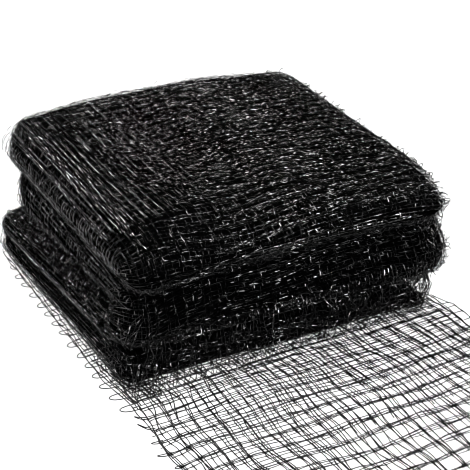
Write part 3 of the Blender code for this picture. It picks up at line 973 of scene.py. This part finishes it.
rungSet = {
    "points": 5,
    "lift": 1.7 * mm,
    "strandRadius": 0.391 * mm,
    "stepShake": 0.13,  # in steps
    "lean": (0.10, 0.10),  # in lengths, the middle and its spread
    "shift": 0.12,
    "turn": 0.35,
    "rollMore": 6.0,  # as for the strands along the folds
    "frontTall": 48.0,
    "frontClip": 0.02,
    # layer, y or x from and to in mm, place round or up the edge at both ends, length and step in mm
    "left": (
        (3, 122, -138, 70, 80, 17, 5.2),
        (3, 122, -138, 92, 96, 10, 6),
        (3, 122, -140, 40, 50, 9, 9),
        (2, 118, -138, 55, 66, 9, 6),
        (2, 118, -138, 105, 110, 9, 4.6),
        (1, 140, -140, -12, -6, 12, 5),
        (1, 140, -140, 12, 18, 11, 5),
        (1, 140, -140, 50, 55, 9, 7),
        (0, 140, -145, 80, 80, 8, 8),
    ),
    "front": (
        (3, -100, 158, 0.18, 0.24, 11, 3.8),
        (3, -40, 158, 0.46, 0.54, 8, 5),
        (2, -70, 150, 0.35, 0.45, 9, 3.6),
        (2, -70, 150, 0.80, 0.85, 8, 4),
        (1, -140, 170, 0.86, 0.92, 9, 3.6),
        (1, -140, 170, 0.55, 0.62, 8, 4.4),
        (1, -140, 120, 0.25, 0.30, 7, 6),
        (0, -155, 60, 0.85, 0.80, 7, 5),
        (0, -155, 60, 0.45, 0.45, 8, 6),
    ),
}


def makeRungs():
    # each rung is a short stretch across its row, laid on the same edge and bowed out by a half wave
    c = rungSet
    t = np.linspace(-0.5, 0.5, c["points"])[None, :]
    parts = []
    for side, out in edgeSet["out"].items():
        for layer, start, end, first, last, length, step in c[side]:
            count = int(abs(end - start) / step)
            pick = lambda spread: rng.normal(0, spread, (count, 1))
            share = (np.arange(count)[:, None] + 0.5 + pick(c["stepShake"])) / count
            own, base = mix(start, end, share), mix(first, last, share)
            lean = (pick(c["lean"][1]) + c["lean"][0]) * length
            size = length * rng.uniform(0.65, 1.25, (count, 1))
            offset = size * t + pick(c["shift"]) * length
            path = edgePlace(c, side, layer, own + lean * t, base, offset) * mm
            bow = c["lift"] * (0.5 + rng.uniform(0, 1, (count, 1)) * np.cos(np.pi * t))
            path = path + out * bow[..., None]
            keepAbove(path, netSet["clearance"])
            radius = c["strandRadius"] * rng.uniform(0.75, 1.2, path.shape[:2])
            twist = rng.uniform(0, fullTurn, (count, 1)) + rng.normal(0, c["turn"], path.shape[:2])
            parts.append(tubes(path, unit(out + np.array([0.1, 0.1, 0.0])), radius, twist))
    # the glossier copy of the strand material: painted highlights on the rungs
    return finished("creaseRungs", parts, False, glintCopyStrand)


rungs = makeRungs()


# the loose end, flat on the floor past the pile

looseSet = {
    "pitch": 19.05 * mm,
    "across": 17,  # meshes
    "out": 13,  # rows of them in front of the pile, then beside it
    "beside": 14,
    "left": -171.0 * mm,
    "front": -395.65 * mm,
    "besideShift": -6.0 * mm,
    "besideLean": 7.0 * mm,  # how much nearer to the pile its back end lies
    "besideRows": 3.0,
    "wander": 2.6 * mm,
    "wanderRows": 4.0,
    "wanderAcross": ((0.35, 0.55, 0.0, 1.0), (-0.8, 1.3, 1.0, 0.5)),
    "wanderAlong": ((0.48, -0.31, 2.0, 1.0), (1.1, 0.9, 0.0, 0.5)),
    "ripple": 2.2 * mm,
    "rippleStart": -185.0 * mm,
    "rippleRun": 60.0 * mm,
    "rippleWaves": ((0.031, 0.055, 0.0, 1.0), (-0.09, 0.024, 1.0, 0.8)),
    "rippleCut": (0.25, 1.45),
    "subSteps": 4,
    "strandRadius": 0.46 * mm,
    "knotSwell": 1.4,
    "turn": 0.2,
    "crossShare": 0.80,  # radius of the strands across, times that of the strands along
    "bow": 0.6 * mm,
    "fan": (-0.045, 0.115),  # how far the further plies' strands lean out at the left and right, mm per mm
    # each further ply: shift across and along, own drift in mm, turn in degrees, share drawn in along, first
    # and last mesh across, first along
    "more": (
        (6.6, 8.4, 1.2, -0.8, 0.14, 0, 17, 0),
        (2.4, 4.2, 1.4, 0.6, 0.24, 0, 17, 0),
        (12, 12, 1.4, 1.3, 0.34, 0, 16, 0),
        (-4.2, 3.6, 1.6, -1.5, 0.44, 1, 17, 4),
        (9.4, 1.5, 1.8, 0.6, 0.55, 6, 17, 7),
        (-1.8, 14, 1.4, 0.9, 0.10, 3, 17, 0),
    ),
    "driftLength": 160.0 * mm,
    "drawnReach": 75.0 * mm,
    "levels": (0.7, 1.5, 0.5, 1.6),  # mm: first ply, second, from one to the next, those beside the pile
    # each further ply beside the pile: its shift across and along in mm
    "moreBeside": ((3.5, 4.5), (7.5, 9.5), (1.0, 13.5)),
    # the turned-back strands beside the pile: foot, outer reach at its back and front ends, width, mm
    "edgeLoops": (-164.0, -175.0, -184.0, 10.0),
    "edgeRadius": 0.5 * mm,
    "loopsFrom": (0.15, 0.30),  # where their reach starts to grow towards the front, and over how far
    "loopShape": 0.55,  # power of the cosine: below 1 they are blunter than a half oval
    "reachShake": 0.9,
    "leanShake": 2.0,
    "frayLean": 3,  # times that, further on
    "frayReach": (5.0, 9.5),  # how far they stand out past the edge there, from a foot inside it
    "frayFoot": 4.0,
    "frayWidth": 0.35,  # and their width, times that of those beside the pile
}


def looseKnot(i, j):  # where strand i along and strand j across meet, a little out of square
    c = looseSet
    free = c["wander"] * smoothStep((c["out"] + 1 - j) / c["wanderRows"])
    dx = sum(share * np.sin(a * i + b * j + start) for a, b, start, share in c["wanderAcross"])
    dy = sum(share * np.sin(a * i + b * j + start) for a, b, start, share in c["wanderAlong"])
    beside = c["besideShift"] * smoothStep((j - c["out"] + 1) / c["besideRows"])
    beside = beside + c["besideLean"] * np.clip((j - c["out"]) / c["beside"], 0, 1)
    return c["left"] + i * c["pitch"] + beside + free * dx, c["front"] + j * c["pitch"] + free * dy


def rippleHeight(x, y):  # soft ripples past the pile, flat in between: sines cut off below and above
    c = looseSet
    free = ramp(-y, -c["rippleStart"], c["rippleRun"])
    waves = [share * np.sin(x / ax + y / ay + start) for ax, ay, start, share in c["rippleWaves"]]
    low, high = c["rippleCut"]
    return c["ripple"] * free * ramp(sum(waves), low, high - low)


def flatNet(x, y, level, keep):
    # strands both ways through a lattice of places on the floor, lifted by the ripples
    c = looseSet
    steps = c["subSteps"]
    parts = []
    lattice = np.stack([x, y, np.full(x.shape, level)], -1)
    for lengthwise in (True, False):
        held = keep if lengthwise else keep.T
        fine = refine(lattice if lengthwise else np.swapaxes(lattice, 0, 1), steps)
        where = np.arange(fine.shape[1])
        f = (where % steps) / steps
        half = np.sin(np.pi * f)
        pick = lambda: rng.normal(0, 1, (fine.shape[0], fine.shape[1] // steps + 1))[:, where // steps]
        bow = c["bow"] * half * pick()
        fine[..., 0] += bow * (1 if lengthwise else 0.2)
        fine[..., 1] += bow * (0.2 if lengthwise else 1)
        fine[..., 2] += rippleHeight(fine[..., 0], fine[..., 1]) + 0.6 * c["bow"] * np.abs(pick()) * half
        swell = np.where(f == 0, c["knotSwell"], 1.0) * rng.uniform(0.85, 1.15, fine.shape[:2])
        radius = c["strandRadius"] * swell * (1.0 if lengthwise else c["crossShare"])
        keepAbove(fine, radius)
        index = np.minimum((where + steps // 2) // steps, held.shape[1] - 1)
        twist = ownTwist(fine.shape[:2], c["turn"])
        parts.append(tubes(fine, upward, radius, twist, held[:, index], 4))
    return joined(parts)


def furtherPly(x, y, row):
    # a ply shifted, drifted and turned, its strands fanned out towards the front and its rows drawn in by
    # drawn * reach * (1 - exp(-away / reach))
    c = looseSet
    dx, dy, drift, turn, drawn = row
    edge = c["front"] + c["out"] * c["pitch"]
    turn, reach = math.radians(turn), c["drawnReach"]
    u = x + dx * mm + drift * mm * waveSum(waveTable(c["driftLength"], 5), x, y)
    v = y + dy * mm + drift * mm * waveSum(waveTable(c["driftLength"], 5), x, y)
    across = np.clip((x - c["left"]) / (c["across"] * c["pitch"]), 0, 1)
    u = u + (turn + mix(*c["fan"], across)) * np.maximum(edge - v, -0.05)
    v = v - turn * u
    away = np.maximum(edge - v, 0.0)
    return u, v + drawn * reach * (1 - np.exp(-away / reach)) * smoothStep(away / (0.5 * reach))


def turnedBack():
    # strands that turn back at the left edge: x = foot + reach * cos^shape, y = width / 2 * sin; wide loops
    # beside the pile, short frayed ends further on
    c = looseSet
    inner, outerBack, outerFront, wide = c["edgeLoops"]
    turn = np.linspace(-0.5, 0.5, 9) * np.pi
    number = np.arange(1, c["out"] + c["beside"])[:, None]
    edgeAt, rowsAt = looseKnot(0, number)
    beside = number >= c["out"] - 1
    start, run = c["loopsFrom"]
    forward = np.clip((start - rowsAt) / run, 0, 1)
    reach = rng.normal(0, c["reachShake"], rowsAt.shape) + mix(outerBack, outerFront, forward) - inner
    reach = np.where(beside, reach, -c["frayFoot"] - rng.uniform(*c["frayReach"], rowsAt.shape))
    lean = rng.normal(0, c["leanShake"], rowsAt.shape) * np.where(beside, 1, c["frayLean"])
    foot = np.where(beside, inner, edgeAt / mm + c["frayFoot"])
    x = (foot + reach * np.cos(turn) ** c["loopShape"]) * mm
    y = rowsAt + (np.sin(turn) * wide / 2 * np.where(beside, 1, c["frayWidth"]) + lean * np.cos(turn)) * mm
    z = (0.9 + 1.5 * np.cos(turn) * rng.uniform(0.2, 1, rowsAt.shape)) * mm
    return tubes(np.stack([x, y, z], -1), upward, c["edgeRadius"], 0.0)


def makeLooseEnd():  # one whole ply, further ones over it in front of the pile and beside it, and their edge
    c = looseSet
    i, j = np.meshgrid(np.arange(c["across"] + 1), np.arange(c["out"] + c["beside"] + 1), indexing="ij")
    x, y = looseKnot(i, j)
    lowest, second, step, besideLevel = np.array(c["levels"]) * mm
    parts = [flatNet(x, y, lowest, (j <= c["out"] + 1) | (i <= 1))]
    for k, (*row, first, last, start) in enumerate(c["more"]):
        u, v = furtherPly(x, y, row)
        keep = (i >= first) & (i <= last) & (j >= start) & (j <= c["out"])
        parts.append(flatNet(u, v, second + step * k, keep))
    for dx, dy in c["moreBeside"]:
        parts.append(flatNet(x + dx * mm, y + dy * mm, besideLevel, (i <= 1) & (j >= c["out"] - 1)))
    # the duller copy of the strand material: painted shade on the loose end
    return finished("looseEnd", parts + [turnedBack()], True, shadeCopyStrand)


looseEnd = makeLooseEnd()


# slack net that sags from one fold over the next and fills their creases

sagSet = {
    "plies": 2,
    "plyStep": 1.5,  # mm, as all lengths here
    "subSteps": 3,
    "shake": 1.3,
    "shift": 0.15,  # of knots along their row, in strands
    "strandRadius": 0.42 * mm,
    "crossShare": 0.8,  # radius of the strands down, times that of the strands along
    "turn": 0.5,
    # each curtain: upper edge from and to, lower edge from and to, bulge, way it faces, strands across, rows
    "curtains": (
        (22, -157, 34, 140, -157, 50, 22, -158, 1.5, 140, -158, 1.5, 0, -4, 0, 0.2, -1, 0.2, 24, 8),
        (136, -157, 50, 180, -88, 56, 136, -158, 1.5, 152, -100, 1.5, 6, -4, 0, 0.7, -0.7, 0.2, 14, 9),
        (-146, 118, 62, -147, -146, 74, -163, 126, 44, -166, -148, 49, -1, 0, 1, -0.8, 0, 0.6, 38, 4),
        (-158, -149, 28, 26, -157, 28, -164, -160, 1.5, 26, -160, 1.5, 0, -2, 0, 0.1, -1, 0.2, 34, 5),
        (-166, -96, 30, -158, -149, 28, -170, -96, 1.5, -164, -160, 1.5, -1, 0, 0, -1, -0.3, 0.2, 11, 5),
        (-168, -128, 33, -140, -157, 30, -172, -128, 1.5, -140, -164, 1.5, -4, -4, 0, -0.7, -0.7, 0.2, 9, 7),
        (-146, -146, 52, 70, -151, 50, -152, -154, 27, 70, -157, 26, 0, -3, 1, 0, -0.8, 0.6, 36, 4),
    ),
}


def makeSag():
    # curtains between four corners, blended straight between them, bulged by a half wave down their height,
    # every knot shaken
    c = sagSet
    parts = []
    for *corners, columns, rows in c["curtains"]:
        topStart, topEnd, lowStart, lowEnd, bulge, facing = np.array(corners, float).reshape(6, 3)
        facing = unit(facing)
        for k in range(c["plies"]):
            u, v = np.meshgrid(np.linspace(0, 1, columns), np.linspace(0, 1, rows), indexing="ij")
            u = np.clip(u + (0.5 * k + rng.normal(0, c["shift"], u.shape)) / columns, 0, 1)[..., None]
            v = v[..., None]
            lattice = mix(mix(topStart, topEnd, u), mix(lowStart, lowEnd, u), v)
            lattice = lattice + bulge * np.sin(np.pi * v) - facing * c["plyStep"] * k
            lattice = lattice + rng.normal(0, c["shake"], lattice.shape)
            for nodes, share in ((lattice, 1.0), (np.swapaxes(lattice, 0, 1), c["crossShare"])):
                fine = refine(nodes, c["subSteps"]) * mm
                keepAbove(fine, netSet["clearance"])
                radius = c["strandRadius"] * share * rng.uniform(0.8, 1.2, fine.shape[:2])
                parts.append(tubes(fine, facing, radius, ownTwist(fine.shape[:2], c["turn"])))
    return finished("saggingNet", parts, False, outerStrand)


sag = makeSag()

onCore = pliesMade + [topRows, fringe, ridges, rungs, sag]
for piece in [core, looseEnd] + onCore:
    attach(piece, "root")
    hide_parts("netting")


# floor and studio light

stageSet = {
    "floorSize": 6.0,
    "floorColour": "#4c4c4c",
    "floorGlow": 0.98,
    "world": 0.015,
    # place, aim, size across and along, power
    "lights": {
        "overheadStrip": ((0.62, 0.15, 1.35), (0.02, 0.0, 0.1), (0.18, 1.3), 52.0),
        "backStrip": ((-0.2, 1.20, 1.00), (0.0, 0.0, 0.1), (1.8, 0.14), 25.0),
        "frontStrip": ((0.25, -1.15, 0.85), (0.0, 0.0, 0.08), (0.17, 1.1), 29.0),
        "sideStrip": ((-1.05, -0.75, 0.95), (0.0, 0.0, 0.08), (0.14, 0.8), 13.0),
        "leftStrip": ((-1.20, -0.15, 0.42), (0.0, -0.05, 0.06), (1.1, 0.09), 4.0),
    },
}


def makeFloor():  # white paper, with a glow that keeps it white where the strips leave it dim
    s = stageSet["floorSize"]
    points = np.array([(-s, -s, 0), (s, -s, 0), (s, s, 0), (-s, s, 0)], float)
    material = bpy.data.materials.new("white paper sweep")
    material.use_nodes = True
    shader = material.node_tree.nodes["Principled BSDF"]
    shader.inputs["Base Color"].default_value = linearColour(stageSet["floorColour"])
    shader.inputs["Roughness"].default_value = 0.9
    shader.inputs["Emission Color"].default_value = linearColour("#ffffff")
    shader.inputs["Emission Strength"].default_value = stageSet["floorGlow"]
    floor = newPiece("floor", points, np.array([[0, 1, 2, 3]]), False, material)


def makeLight(name, place, target, size, power):  # a rectangle of light, turned to face its target
    data = bpy.data.lights.new(name, "AREA")
    data.shape = "RECTANGLE"
    data.size, data.size_y = size
    data.energy = power
    lamp = bpy.data.objects.new(name, data)
    lamp.location = place
    toward = mathutils.Vector(target) - mathutils.Vector(place)
    lamp.rotation_euler = toward.to_track_quat("-Z", "Y").to_euler()
    bpy.context.scene.collection.objects.link(lamp)


makeFloor()
for name, (place, target, size, power) in stageSet["lights"].items():
    makeLight(name, place, target, size, power)
world = bpy.data.worlds.new("studio")
world.use_nodes = True
world.node_tree.nodes["Background"].inputs["Color"].default_value = (1, 1, 1, 1)
world.node_tree.nodes["Background"].inputs["Strength"].default_value = stageSet["world"]
bpy.context.scene.world = world
bpy.context.scene.view_settings.view_transform = "Standard"
bpy.context.scene.cycles.filter_width = 1.0  # crisp strands, as in the photo
print("floor and lights set")
